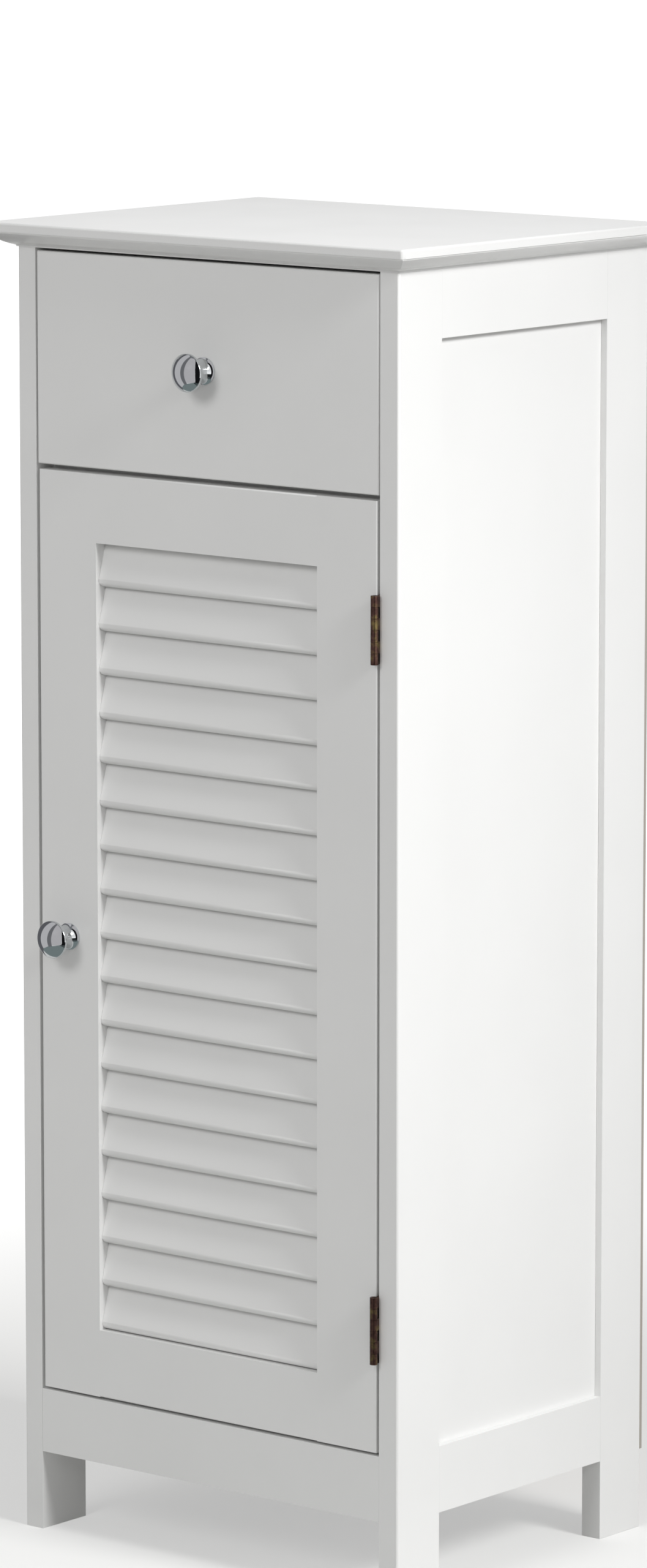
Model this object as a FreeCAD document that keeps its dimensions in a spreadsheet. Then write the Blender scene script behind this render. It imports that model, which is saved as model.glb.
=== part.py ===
"""Louvred door cabinet: a slim painted cabinet with one drawer over one louvred door.

Built as the real one is: framed side panels whose stiles run down as legs, boards housed
between them, a moulded top, a boxed drawer on runner strips, and a door of tenoned rails and
stiles that carries round-nosed slats in slanted slots, hung on two knuckled butt hinges.

Frame: millimetres, +Z up, +X to the right, the front faces -Y. The origin is on the floor,
under the middle of the whole object with its knobs.
"""
import FreeCAD
import Part
import math
import os
import Sketcher

DRIVING_SIZES = [
    # whole cabinet
    ("top_width", 350.0, "overall width, across the top board"),
    ("cabinet_height", 870.0, "floor to the face of the top"),
    ("top_thickness", 16.0, "top board"),
    ("top_overhang", 16.0, "top board past the carcass, front and sides"),
    ("top_band", 6.0, "upright band along the edge of the top"),
    ("top_quirk", 0.8, "small steps above and below the moulding"),
    ("moulding_radius", 36.0, "shallow curve from the band in to the carcass"),
    ("top_edge_round", 1.5, "upper edge of the top"),
    ("top_corner_round", 2.5, "front corners of the top, seen from above"),
    ("carcass_depth", 257.0, "front of the legs to the back of the legs"),
    ("back_thickness", 3.0, "sheet over the back"),
    ("back_inset", 0.5, "that sheet inside the outer faces of the legs"),
    ("board", 15.0, "thickness of legs, rails, apron, floor and divider"),
    # side frames
    ("stile_width", 43.0, "leg, seen from the side"),
    ("rail_height", 44.0, "upper and lower rail of a side frame"),
    ("leg_clearance", 53.0, "floor to the underside of rails and apron"),
    ("panel_thickness", 6.0, "side panel"),
    ("panel_recess", 5.0, "side panel behind the face of its frame"),
    ("groove_depth", 7.0, "panel groove, and the stub tenons that share it"),
    ("panel_play", 0.5, "room round a panel in its groove"),
    ("tenon_shoulder", 6.0, "what hides a stub tenon from below"),
    ("housing_depth", 4.0, "how deep floor and divider are let into the sides"),
    # fronts
    ("front_thickness", 16.0, "drawer front and door"),
    ("side_gap", 2.2, "beside the door, and between its edge and the hinge side's leg"),
    ("drawer_side_gap", 1.2, "beside the drawer front"),
    ("top_gap", 2.0, "over the drawer front"),
    ("middle_gap", 3.5, "between drawer front and door"),
    ("bottom_gap", 2.0, "under the door"),
    ("apron_height", 43.0, "apron under the door"),
    ("drawer_front_height", 138.5, "drawer front"),
    ("drawer_front_hang", 4.5, "drawer front down past the top of the divider"),
    ("divider_play", 1.0, "between the drawer front and the divider behind it"),
    ("edge_round", 1.0, "softened edges of the fronts"),
    ("leg_round", 1.5, "softened front corners of the legs"),
    # louvred door
    ("door_stile_width", 49.0, "both stiles of the door"),
    ("door_rail_height", 45.0, "both rails of the door"),
    ("door_tenon_length", 12.0, "tenons of the door's rails"),
    ("door_tenon_thickness", 6.0, "tenons of the door's rails"),
    ("door_tenon_rise", 9.0, "those tenons over the lower edge of their rail"),
    ("door_tenon_drop", 5.0, "those tenons under the upper edge of their rail"),
    ("slat_count", 18.0, "slats"),
    ("slat_thickness", 5.5, "slat"),
    ("slat_width", 35.0, "slat, from nose to tail"),
    ("slat_round", 4.0, "rounded front edge of a slat's nose"),
    ("slat_tilt", 16.0, "degrees, slat leaning back from upright"),
    ("slat_setback", 0.8, "nose of a slat behind the face of the door"),
    ("slot_depth", 5.0, "slots in the stiles"),
    ("slot_play", 0.1, "room round a slat in its slot"),
    ("rebate_lip", 7.2, "front of the upper rail, before the tail of the first slat"),
    # drawer box
    ("drawer_side_thickness", 12.0, "sides and back of the drawer"),
    ("drawer_side_height", 100.0, "sides of the drawer"),
    ("drawer_side_length", 228.0, "sides of the drawer, front to back"),
    ("drawer_side_play", 1.5, "between drawer box and legs"),
    ("drawer_lift", 3.0, "drawer box over the divider"),
    ("drawer_back_inset", 6.0, "back of the drawer inside the ends of its sides"),
    ("drawer_bottom_thickness", 4.0, "sheet in the bottom of the drawer"),
    ("bottom_groove_depth", 5.0, "groove for that sheet"),
    ("bottom_groove_level", 8.0, "that groove over the lower edge of the drawer sides"),
    ("runner_height", 12.0, "runner strip"),
    ("runner_thickness", 7.0, "runner strip"),
    ("runner_level", 44.0, "underside of the runner over the lower edge of the drawer sides"),
    ("runner_length", 233.0, "runner strip"),
    ("runner_start", 4.0, "front end of the runner behind the drawer front"),
    ("runner_play", 0.3, "room round the runner in the drawer's groove"),
    # cupboard inside
    ("shelf_thickness", 12.0, "shelf"),
    ("shelf_level", 400.0, "underside of the shelf"),
    ("shelf_play", 1.0, "shelf from the legs and the back"),
    ("shelf_setback", 22.0, "front of the shelf behind the front of the legs"),
    ("batten_thickness", 12.0, "battens under shelf and top"),
    ("batten_height", 15.0, "battens under shelf and top"),
    # hinges
    ("hinge_height", 44.0, "butt hinge"),
    ("hinge_inset", 59.0, "hinge from the end of the door"),
    ("hinge_proud", 4.0, "pin's axis in front of the face of the door"),
    ("leaf_thickness", 0.9, "hinge leaf"),
    ("leaf_margin", 1.0, "hinge leaf short of the back of the door"),
    ("leaf_notch", 6.0, "cut beside the other leaf's knuckles, from the pin's axis back"),
    ("knuckle_radius", 2.5, "outside of a knuckle"),
    ("hinge_pin_radius", 1.5, "hinge pin"),
    ("knuckle_count", 6.0, "knuckles of a hinge, both leaves together"),
    ("knuckle_play", 0.2, "between knuckles, end to end"),
    ("pin_running_play", 0.05, "round the pin, in the door's leaf"),
    ("pin_end_setback", 0.6, "pin inside the ends of the barrel"),
    # knobs
    ("knob_projection", 24.0, "knob"),
    ("knob_head_radius", 12.3, "head of the knob"),
    ("knob_base_radius", 8.8, "foot of the knob"),
    ("knob_neck_radius", 5.0, "neck of the knob"),
    ("knob_base_edge", 1.2, "edge of the foot"),
    ("knob_rim", 1.6, "upright rim of the head"),
    ("knob_dome", 5.8, "how far the head is domed"),
    ("knob_rings", 4.0, "turned rings that make up the dome"),
    # magnetic catch
    ("catch_width", 46.0, "catch, with its ears"),
    ("catch_body_width", 27.0, "catch between its ears"),
    ("catch_depth", 14.0, "catch, front to back"),
    ("catch_height", 13.0, "catch"),
    ("catch_ear_height", 3.0, "ears of the catch"),
    ("strike_width", 30.0, "strike plate on the door"),
    ("strike_height", 12.0, "strike plate on the door"),
    ("strike_thickness", 1.2, "strike plate on the door"),
    ("strike_play", 0.2, "between strike plate and catch"),
]

doc = FreeCAD.newDocument("louvred_door_cabinet")
sheet = doc.addObject("Spreadsheet::Sheet", "Sizes")
for line, (name, number, note) in enumerate(DRIVING_SIZES, start=1):
    sheet.set("A%d" % line, name)
    sheet.set("B%d" % line, str(number))
    sheet.set("C%d" % line, note)
    sheet.setAlias("B%d" % line, name)
doc.recompute()


# ---------------------------------------------------------------- sizes that stay tied to the sheet

class Size:
    """A number in millimetres (or degrees) together with the sheet formula that gives it."""

    def __init__(self, number, text):
        self.number = float(number)
        self.text = text

    def __add__(self, other):
        other = size(other)
        return Size(self.number + other.number, "(%s + %s)" % (self.text, other.text))

    def __sub__(self, other):
        other = size(other)
        return Size(self.number - other.number, "(%s - %s)" % (self.text, other.text))

    def __mul__(self, other):
        other = size(other)
        return Size(self.number * other.number, "(%s * %s)" % (self.text, other.text))

    def __truediv__(self, other):
        other = size(other)
        return Size(self.number / other.number, "(%s / %s)" % (self.text, other.text))

    def __neg__(self):
        return Size(-self.number, "(0 - %s)" % self.text)

    __radd__ = __add__

    def __rsub__(self, other):
        return size(other) - self

    __rmul__ = __mul__


def size(value):
    """A Size from a Size or from a plain number."""
    if isinstance(value, Size):
        return value
    return Size(value, repr(float(value)))


def sine(angle):
    return Size(math.sin(math.radians(angle.number)), "sin(%s)" % angle.text)


def cosine(angle):
    return Size(math.cos(math.radians(angle.number)), "cos(%s)" % angle.text)


def root(value):
    return Size(math.sqrt(value.number), "sqrt(%s)" % value.text)


class Sheet:
    """The driving sizes by name."""


sizes = Sheet()
for name, number, note in DRIVING_SIZES:
    setattr(sizes, name, Size(sheet.get(name), "Sizes." + name))

ZERO = size(0)
SAME = 1e-4  # places and directions that differ by less are taken as the same

# places that several pieces share, in the frame of the whole cabinet
half_width = sizes.top_width / 2 - sizes.top_overhang
half_inside = half_width - sizes.board
whole_depth = sizes.knob_projection + sizes.carcass_depth + sizes.back_thickness
front_y = sizes.knob_projection - whole_depth / 2
rear_y = front_y + sizes.carcass_depth
leg_top = sizes.cabinet_height - sizes.top_thickness
rail_length = sizes.carcass_depth - sizes.stile_width * 2

apron_top = sizes.leg_clearance + sizes.apron_height
floor_bottom = apron_top - sizes.board
door_bottom = apron_top + sizes.bottom_gap
drawer_front_bottom = leg_top - sizes.top_gap - sizes.drawer_front_height
door_top = drawer_front_bottom - sizes.middle_gap
door_height = door_top - door_bottom
door_width = half_inside * 2 - sizes.side_gap * 2
drawer_front_width = half_inside * 2 - sizes.drawer_side_gap * 2
divider_setback = sizes.front_thickness + sizes.divider_play
divider_top = drawer_front_bottom + sizes.drawer_front_hang
divider_bottom = divider_top - sizes.board

drawer_bottom_z = divider_top + sizes.drawer_lift
drawer_back_y = front_y + sizes.front_thickness + sizes.drawer_side_length
drawer_half_width = half_inside - sizes.drawer_side_play
drawer_inner_width = (drawer_half_width - sizes.drawer_side_thickness) * 2
runner_z = drawer_bottom_z + sizes.runner_level
runner_y = front_y + sizes.front_thickness + sizes.runner_start

opening_width = door_width - sizes.door_stile_width * 2
opening_bottom = door_bottom + sizes.door_rail_height
opening_top = door_top - sizes.door_rail_height
slat_pitch = (opening_top - opening_bottom) / sizes.slat_count
slat_height = sizes.slat_width * cosine(sizes.slat_tilt) + sizes.slat_thickness * sine(sizes.slat_tilt)
lowest_slat = opening_bottom + sizes.slot_play * 2

knob_z = door_bottom + door_height / 2
door_knob_x = -door_width / 2 + sizes.door_stile_width / 2
drawer_knob_z = drawer_front_bottom + sizes.drawer_front_height / 2

hinge_x = half_inside - sizes.side_gap / 2
hinge_y = front_y - sizes.hinge_proud
hinge_levels = {
    "upper": door_top - sizes.hinge_inset - sizes.hinge_height,
    "lower": door_bottom + sizes.hinge_inset,
}
knuckle_pitch = sizes.hinge_height / sizes.knuckle_count
leaf_depth = sizes.hinge_proud + sizes.front_thickness - sizes.leaf_margin

catch_x = door_knob_x
catch_front_y = front_y + sizes.front_thickness + sizes.strike_thickness + sizes.strike_play
strike_z = divider_bottom - sizes.catch_height / 2

outputs = []


# ---------------------------------------------------------------- small helpers over PartDesign

PLANE_ROLES = {"top": "XY_Plane", "front": "XZ_Plane", "side": "YZ_Plane"}
AXIS_ROLES = {"x": "X_Axis", "y": "Y_Axis", "z": "Z_Axis"}


def bind(item, property_name, value):
    """Gives a property its size now and ties it to the sheet."""
    setattr(item, property_name, value.number)
    item.setExpression(property_name, value.text)


def set_place(item, x, y, z, turn=0.0):
    """Stands an item at x, y, z, turned about +Z, and ties the place to the sheet."""
    item.Placement = FreeCAD.Placement(
        FreeCAD.Vector(x.number, y.number, z.number),
        FreeCAD.Rotation(FreeCAD.Vector(0, 0, 1), turn))
    for axis, place in zip("xyz", (x, y, z)):
        item.setExpression("Placement.Base." + axis, place.text)


def new_body(label, x, y, z, turn=0.0):
    """An empty body of one piece, with its own origin at x, y, z."""
    body = doc.addObject("PartDesign::Body", label)
    set_place(body, x, y, z, turn)
    outputs.append(body)
    return body


def origin_feature(body, role):
    for feature in body.Origin.OriginFeatures:
        if feature.Role == role:
            return feature
    raise ValueError("no origin feature " + role)


def new_sketch(body, plane, start=ZERO):
    """A sketch on the plane seen from top, front or side, at a distance along its third axis."""
    sketch = body.newObject("Sketcher::SketchObject", body.Label + "_sketch")
    sketch.AttachmentSupport = [(origin_feature(body, PLANE_ROLES[plane]), "")]
    sketch.MapMode = "FlatFace"
    offset = -start if plane == "front" else start
    sketch.AttachmentOffset.Base = FreeCAD.Vector(0, 0, offset.number)
    sketch.setExpression("AttachmentOffset.Base.z", offset.text)
    return sketch


def pin_point(sketch, item, point, across, up):
    """Ties one point of a sketch to its two distances from the origin."""
    for kind, distance, axis in (("DistanceX", across, -2), ("DistanceY", up, -1)):
        if near(0, distance):
            sketch.addConstraint(Sketcher.Constraint("PointOnObject", item, point, axis))
            continue
        number = sketch.addConstraint(
            Sketcher.Constraint(kind, -1, 1, item, point, distance.number))
        sketch.setExpression("Constraints[%d]" % number, distance.text)


def arc_through(start, end, radius):
    """The shorter arc of a signed radius between two points: positive turns left on the way."""
    chord = end - start
    middle = (start + end) * 0.5
    left = FreeCAD.Vector(-chord.y, chord.x, 0)
    left.normalize()
    reach = math.sqrt(radius * radius - chord.Length ** 2 / 4)
    bulge = middle - left * math.copysign(abs(radius) - reach, radius)
    return Part.Arc(start, bulge, end)


def draw_outline(sketch, corners, bends=None):
    """A closed outline through corners; bends gives the signed radius of the edge after a corner."""
    bends = bends or {}
    points = [FreeCAD.Vector(across.number, up.number, 0) for across, up in corners]
    ends = []
    for index, start in enumerate(points):
        end = points[(index + 1) % len(points)]
        if index in bends:
            item = sketch.addGeometry(arc_through(start, end, bends[index].number), False)
            radius = Sketcher.Constraint("Radius", item, abs(bends[index].number))
            number = sketch.addConstraint(radius)
            signed = bends[index] if bends[index].number > 0 else -bends[index]
            sketch.setExpression("Constraints[%d]" % number, signed.text)
            ends.append((item, 1, 2) if bends[index].number > 0 else (item, 2, 1))
        else:
            item = sketch.addGeometry(Part.LineSegment(start, end), False)
            ends.append((item, 1, 2))
    for index, (item, first, last) in enumerate(ends):
        following = ends[(index + 1) % len(ends)]
        sketch.addConstraint(
            Sketcher.Constraint("Coincident", item, last, following[0], following[1]))
        pin_point(sketch, item, first, *corners[index])
    return sketch


def draw_rectangle(sketch, left, bottom, width, height):
    right = left + width
    top = bottom + height
    return draw_outline(sketch, [(left, bottom), (right, bottom), (right, top), (left, top)])


def draw_circle(sketch, across, up, radius):
    centre = FreeCAD.Vector(across.number, up.number, 0)
    item = sketch.addGeometry(Part.Circle(centre, FreeCAD.Vector(0, 0, 1), radius.number), False)
    pin_point(sketch, item, 3, across, up)
    number = sketch.addConstraint(Sketcher.Constraint("Radius", item, radius.number))
    sketch.setExpression("Constraints[%d]" % number, radius.text)
    return sketch


def volume_now(body):
    doc.recompute()
    return body.Shape.Volume


def pad(body, sketch, plane, length):
    """Adds material from the sketch along its third axis, towards +."""
    feature = body.newObject("PartDesign::Pad", body.Label + "_pad")
    feature.Profile = sketch
    bind(feature, "Length", length)
    feature.Reversed = plane == "front"
    before = body.Shape.Volume if body.Shape.Solids else 0.0
    if volume_now(body) <= before:
        raise ValueError(body.Label + ": a pad added nothing")
    return feature


def pocket(body, sketch, plane, length):
    """Cuts from the sketch along its third axis, towards +."""
    feature = body.newObject("PartDesign::Pocket", body.Label + "_pocket")
    feature.Profile = sketch
    bind(feature, "Length", length)
    feature.Reversed = plane != "front"
    before = body.Shape.Volume
    if volume_now(body) >= before:
        raise ValueError(body.Label + ": a pocket cut nothing")
    return feature


def block(body, corner, extent):
    """Adds a straight block, given by its lowest corner and its extent in the body's frame."""
    sketch = draw_rectangle(new_sketch(body, "top", corner[2]), *corner[:2], *extent[:2])
    return pad(body, sketch, "top", extent[2])


def cut_block(body, corner, extent):
    """Cuts a straight groove, housing or mortise, given as block is."""
    sketch = draw_rectangle(new_sketch(body, "top", corner[2]), *corner[:2], *extent[:2])
    return pocket(body, sketch, "top", extent[2])


def bore(body, plane, start, across, up, radius, depth):
    """Drills a round hole along the third axis of a plane, towards +."""
    sketch = draw_circle(new_sketch(body, plane, start), across, up, radius)
    return pocket(body, sketch, plane, depth)


def repeat(body, feature, axis, span, count):
    """Repeats a feature along an axis; span is the distance from the first to the last."""
    pattern = body.newObject("PartDesign::LinearPattern", body.Label + "_row")
    pattern.Originals = [feature]
    pattern.Direction = (origin_feature(body, AXIS_ROLES[axis]), [""])
    bind(pattern, "Length", span)
    pattern.Occurrences = int(count.number)
    pattern.setExpression("Occurrences", count.text)
    body.Tip = pattern
    doc.recompute()
    return pattern


def fillet(body, radius, test):
    """Rounds the edges of the body whose shape and middle point pass a test."""
    base = body.Tip
    names = ["Edge%d" % number for number, edge in enumerate(base.Shape.Edges, start=1)
             if test(edge, edge.CenterOfMass)]
    if not names:
        raise ValueError(body.Label + ": no edge to round")
    feature = body.newObject("PartDesign::Fillet", body.Label + "_fillet")
    feature.Base = (base, names)
    bind(feature, "Radius", radius)
    doc.recompute()
    return feature


def near(number, place):
    return abs(number - place.number) < SAME


def is_along(edge, axis):
    """Whether an edge is straight and runs along one axis of its body."""
    straight = edge.Curve.TypeId == "Part::GeomLine"
    return straight and abs(getattr(edge.tangentAt(edge.FirstParameter), axis)) > 1 - SAME


# ---------------------------------------------------------------- side frames

def inner_start(side, depth):
    """Where a cut of a depth starts across a side board, so that it opens on the inside."""
    return sizes.board - depth if side == "left" else ZERO


def panel_start(side):
    """Where the panel, its grooves and the stub tenons start across a side board."""
    if side == "left":
        return sizes.panel_recess
    return sizes.board - sizes.panel_recess - sizes.panel_thickness


def side_x(side):
    return -half_width if side == "left" else half_inside


def make_leg(side, end):
    """A stile of a side frame that runs down to the floor as a leg."""
    front = end == "front"
    y = front_y if front else rear_y - sizes.stile_width
    leg = new_body("%s_%s_leg" % (side, end), side_x(side), y, ZERO)
    block(leg, (ZERO, ZERO, ZERO), (sizes.board, sizes.stile_width, leg_top))
    groove_y = sizes.stile_width - sizes.groove_depth if front else ZERO
    groove_z = sizes.leg_clearance + sizes.tenon_shoulder
    cut_block(leg, (panel_start(side), groove_y, groove_z),
              (sizes.panel_thickness, sizes.groove_depth, leg_top - groove_z))
    housing_x = inner_start(side, sizes.housing_depth)
    for level, setback in ((floor_bottom, sizes.board), (divider_bottom, divider_setback)):
        start = setback if front else ZERO
        cut_block(leg, (housing_x, start, level),
                  (sizes.housing_depth, sizes.stile_width - start, sizes.board))
    if front:
        y, z, thickness, height = apron_tenon()
        cut_block(leg, (inner_start(side, sizes.groove_depth), y, z),
                  (sizes.groove_depth, thickness, height))
        outer_x = ZERO if side == "left" else sizes.board

        def front_corner(edge, middle):
            return is_along(edge, "z") and near(middle.x, outer_x) and near(middle.y, ZERO)

        fillet(leg, sizes.leg_round, front_corner)


def apron_tenon():
    """Place and extent, front to back and up, of the apron's tenons and their mortises."""
    height = sizes.apron_height - sizes.tenon_shoulder * 2
    return (sizes.panel_recess, sizes.leg_clearance + sizes.tenon_shoulder, sizes.panel_thickness, height)


def make_side_rail(side, level):
    """A rail of a side frame, with stub tenons and the groove of the panel."""
    upper = level == "upper"
    z = leg_top - sizes.rail_height if upper else sizes.leg_clearance
    y = front_y + sizes.stile_width - sizes.groove_depth
    rail = new_body("%s_%s_rail" % (side, level), side_x(side), y, z)
    block(rail, (ZERO, sizes.groove_depth, ZERO), (sizes.board, rail_length, sizes.rail_height))
    whole_length = rail_length + sizes.groove_depth * 2
    shoulder = ZERO if upper else sizes.tenon_shoulder
    block(rail, (panel_start(side), ZERO, shoulder),
          (sizes.panel_thickness, whole_length, sizes.rail_height - shoulder))
    groove_z = ZERO if upper else sizes.rail_height - sizes.groove_depth
    cut_block(rail, (panel_start(side), ZERO, groove_z),
              (sizes.panel_thickness, whole_length, sizes.groove_depth))
    if not upper:
        cut_block(rail, (inner_start(side, sizes.housing_depth), ZERO, floor_bottom - sizes.leg_clearance),
                  (sizes.housing_depth, whole_length, sizes.board))


def make_side_panel(side):
    """The thin panel, loose in the grooves of its frame."""
    reach = sizes.groove_depth - sizes.panel_play
    panel = new_body(side + "_side_panel", side_x(side) + panel_start(side),
                     front_y + sizes.stile_width - reach, sizes.leg_clearance + sizes.rail_height - reach)
    height = leg_top - sizes.leg_clearance - sizes.rail_height * 2
    block(panel, (ZERO, ZERO, ZERO),
          (sizes.panel_thickness, rail_length + reach * 2, height + reach * 2))


# ---------------------------------------------------------------- top, apron, floor, divider, back

def make_top_board():
    """The top: moulded along front and sides, with softened upper edges and front corners."""
    depth = sizes.top_overhang + sizes.carcass_depth + sizes.back_thickness
    top = new_body("top_board", -sizes.top_width / 2, front_y - sizes.top_overhang, leg_top)
    block(top, (ZERO, ZERO, ZERO), (sizes.top_width, depth, sizes.top_thickness))

    past_back = depth + sizes.top_band
    path = new_sketch(top, "top")
    draw_path(path, [(ZERO, past_back), (ZERO, ZERO), (sizes.top_width, ZERO),
                     (sizes.top_width, past_back)])
    waste = new_sketch(top, "front", past_back)
    outside = -sizes.top_quirk
    band_bottom = sizes.top_thickness - sizes.top_band
    foot = sizes.top_overhang - sizes.top_quirk
    corners = [(outside, outside), (foot, outside), (foot, sizes.top_quirk),
               (sizes.top_quirk, band_bottom - sizes.top_quirk), (sizes.top_quirk, band_bottom),
               (outside, band_bottom)]
    draw_outline(waste, corners, {2: -sizes.moulding_radius})
    moulding = top.newObject("PartDesign::SubtractivePipe", "top_moulding")
    moulding.Profile = waste
    moulding.Spine = path
    moulding.Mode = "Standard"
    moulding.Transition = "Right corner"
    before = top.Shape.Volume
    if volume_now(top) >= before:
        raise ValueError("the moulding cut nothing")

    def band_corner(edge, middle):
        at_side = near(middle.x, ZERO) or near(middle.x, sizes.top_width)
        return is_along(edge, "z") and at_side and near(middle.y, ZERO)

    def upper_edge(edge, middle):
        return near(middle.z, sizes.top_thickness) and not near(middle.y, depth)

    fillet(top, sizes.top_corner_round, band_corner)
    fillet(top, sizes.top_edge_round, upper_edge)


def draw_path(sketch, points):
    """An open run of straight lines."""
    for start, end in zip(points, points[1:]):
        item = sketch.addGeometry(Part.LineSegment(
            FreeCAD.Vector(start[0].number, start[1].number, 0),
            FreeCAD.Vector(end[0].number, end[1].number, 0)), False)
        if item:
            sketch.addConstraint(Sketcher.Constraint("Coincident", item - 1, 2, item, 1))
        pin_point(sketch, item, 1, *start)
    pin_point(sketch, item, 2, *points[-1])


def make_front_apron():
    apron = new_body("front_apron", -half_inside - sizes.groove_depth, front_y, sizes.leg_clearance)
    block(apron, (sizes.groove_depth, ZERO, ZERO), (half_inside * 2, sizes.board, sizes.apron_height))
    y, z, thickness, height = apron_tenon()
    block(apron, (ZERO, y, z - sizes.leg_clearance),
          (half_inside * 2 + sizes.groove_depth * 2, thickness, height))


def make_housed_board(label, setback, level):
    """A full board let into the legs on both sides, flush with the back of the legs."""
    reach = half_inside + sizes.housing_depth
    board = new_body(label, -reach, front_y + setback, level)
    block(board, (ZERO, ZERO, ZERO), (reach * 2, sizes.carcass_depth - setback, sizes.board))


def make_back_panel():
    reach = half_width - sizes.back_inset
    back = new_body("back_panel", -reach, rear_y, sizes.leg_clearance)
    block(back, (ZERO, ZERO, ZERO), (reach * 2, sizes.back_thickness, leg_top - sizes.leg_clearance))


# ---------------------------------------------------------------- shelf, battens, runners, catch

def make_shelf():
    shelf = new_body("cupboard_shelf", -half_inside + sizes.shelf_play,
                     front_y + sizes.shelf_setback, sizes.shelf_level)
    block(shelf, (ZERO, ZERO, ZERO),
          (half_inside * 2 - sizes.shelf_play * 2,
           sizes.carcass_depth - sizes.shelf_setback - sizes.shelf_play, sizes.shelf_thickness))

    def front_edge(edge, middle):
        return is_along(edge, "x") and near(middle.y, ZERO)

    fillet(shelf, sizes.edge_round, front_edge)


def make_batten(side, purpose, top):
    """A strip from leg to leg whose upper face carries the shelf, or holds the top."""
    x = -half_inside if side == "left" else half_inside - sizes.batten_thickness
    batten = new_body("%s_%s_batten" % (side, purpose), x, front_y + sizes.shelf_setback,
                      top - sizes.batten_height)
    block(batten, (ZERO, ZERO, ZERO),
          (sizes.batten_thickness, sizes.carcass_depth - sizes.shelf_setback, sizes.batten_height))


def make_runner(side):
    x = -half_inside if side == "left" else half_inside - sizes.runner_thickness
    runner = new_body(side + "_drawer_runner", x, runner_y, runner_z)
    block(runner, (ZERO, ZERO, ZERO), (sizes.runner_thickness, sizes.runner_length, sizes.runner_height))


def make_catch():
    """Magnetic catch: a moulded block with two ears, under the divider."""
    catch = new_body("magnetic_catch", catch_x - sizes.catch_width / 2, catch_front_y,
                     divider_bottom - sizes.catch_height)
    block(catch, (ZERO, ZERO, sizes.catch_height - sizes.catch_ear_height),
          (sizes.catch_width, sizes.catch_depth, sizes.catch_ear_height))
    block(catch, ((sizes.catch_width - sizes.catch_body_width) / 2, ZERO, ZERO),
          (sizes.catch_body_width, sizes.catch_depth, sizes.catch_height))


def make_strike_plate():
    strike = new_body("catch_strike_plate", catch_x - sizes.strike_width / 2,
                      front_y + sizes.front_thickness, strike_z - sizes.strike_height / 2)
    block(strike, (ZERO, ZERO, ZERO), (sizes.strike_width, sizes.strike_thickness, sizes.strike_height))


# ---------------------------------------------------------------- hinges

def make_leaf(label, owner, level):
    """A leaf of a butt hinge: a plate in the gap, and every other knuckle of the barrel."""
    leaf = new_body(label, hinge_x, hinge_y, level)
    on_frame = owner == "frame"
    plate_x = sizes.side_gap / 2 - sizes.leaf_thickness if on_frame else -sizes.side_gap / 2
    block(leaf, (plate_x, ZERO, ZERO), (sizes.leaf_thickness, leaf_depth, sizes.hinge_height))
    span = knuckle_pitch * (sizes.knuckle_count - 2)
    pairs = sizes.knuckle_count / 2
    own, other = (knuckle_pitch, ZERO) if on_frame else (ZERO, knuckle_pitch)
    notch = cut_block(leaf, (plate_x, ZERO, other),
                      (sizes.leaf_thickness, sizes.leaf_notch, knuckle_pitch))
    repeat(leaf, notch, "z", span, pairs)
    sketch = new_sketch(leaf, "top", own + sizes.knuckle_play / 2)
    draw_circle(sketch, ZERO, ZERO, sizes.knuckle_radius)
    knuckle = pad(leaf, sketch, "top", knuckle_pitch - sizes.knuckle_play)
    repeat(leaf, knuckle, "z", span, pairs)
    play = ZERO if on_frame else sizes.pin_running_play
    bore(leaf, "top", ZERO, ZERO, ZERO, sizes.hinge_pin_radius + play, sizes.hinge_height)


def make_hinge_pins():
    """One pin through each barrel, a little short of its ends."""
    pins = []
    for name, level in hinge_levels.items():
        pin = doc.addObject("Part::Cylinder", name + "_hinge_pin")
        bind(pin, "Radius", sizes.hinge_pin_radius)
        bind(pin, "Height", sizes.hinge_height - sizes.pin_end_setback * 2)
        set_place(pin, hinge_x, hinge_y, level + sizes.pin_end_setback)
        pins.append(pin)
    both = doc.addObject("Part::Compound", "hinge_pins")
    both.Links = pins
    outputs.append(both)


# ---------------------------------------------------------------- knobs

def make_knob(label, x, z):
    """Turned knob: flared foot, neck and domed head; its own +Y stands out from the front."""
    knob = new_body(label, x, front_y, z, turn=180.0)
    profile = new_sketch(knob, "side")
    head = sizes.knob_head_radius
    rim_front = sizes.knob_projection - sizes.knob_dome
    rim_back = rim_front - sizes.knob_rim
    flare = sizes.knob_base_radius - sizes.knob_neck_radius
    corners = [
        (ZERO, ZERO), (ZERO, sizes.knob_base_radius), (sizes.knob_base_edge, sizes.knob_base_radius),
        (sizes.knob_base_edge + flare, sizes.knob_neck_radius),
        (rim_back, sizes.knob_neck_radius), (rim_back, head), (rim_front, head)]
    dome_radius = (sizes.knob_dome * sizes.knob_dome + head * head) / (sizes.knob_dome * 2)
    for ring in range(int(sizes.knob_rings.number) - 1, 0, -1):
        radius = head * ring / sizes.knob_rings
        height = root(dome_radius * dome_radius - radius * radius)
        corners.append((sizes.knob_projection - dome_radius + height, radius))
    corners.append((sizes.knob_projection, ZERO))
    draw_outline(profile, corners)
    turned = knob.newObject("PartDesign::Revolution", label + "_turned")
    turned.Profile = profile
    turned.ReferenceAxis = (profile, ["H_Axis"])
    turned.Angle = 360.0
    doc.recompute()


# ---------------------------------------------------------------- drawer

def soften_front(body):
    """Rounds every straight edge of the front face."""
    def face_edge(edge, middle):
        return near(middle.y, ZERO)

    fillet(body, sizes.edge_round, face_edge)


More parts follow.
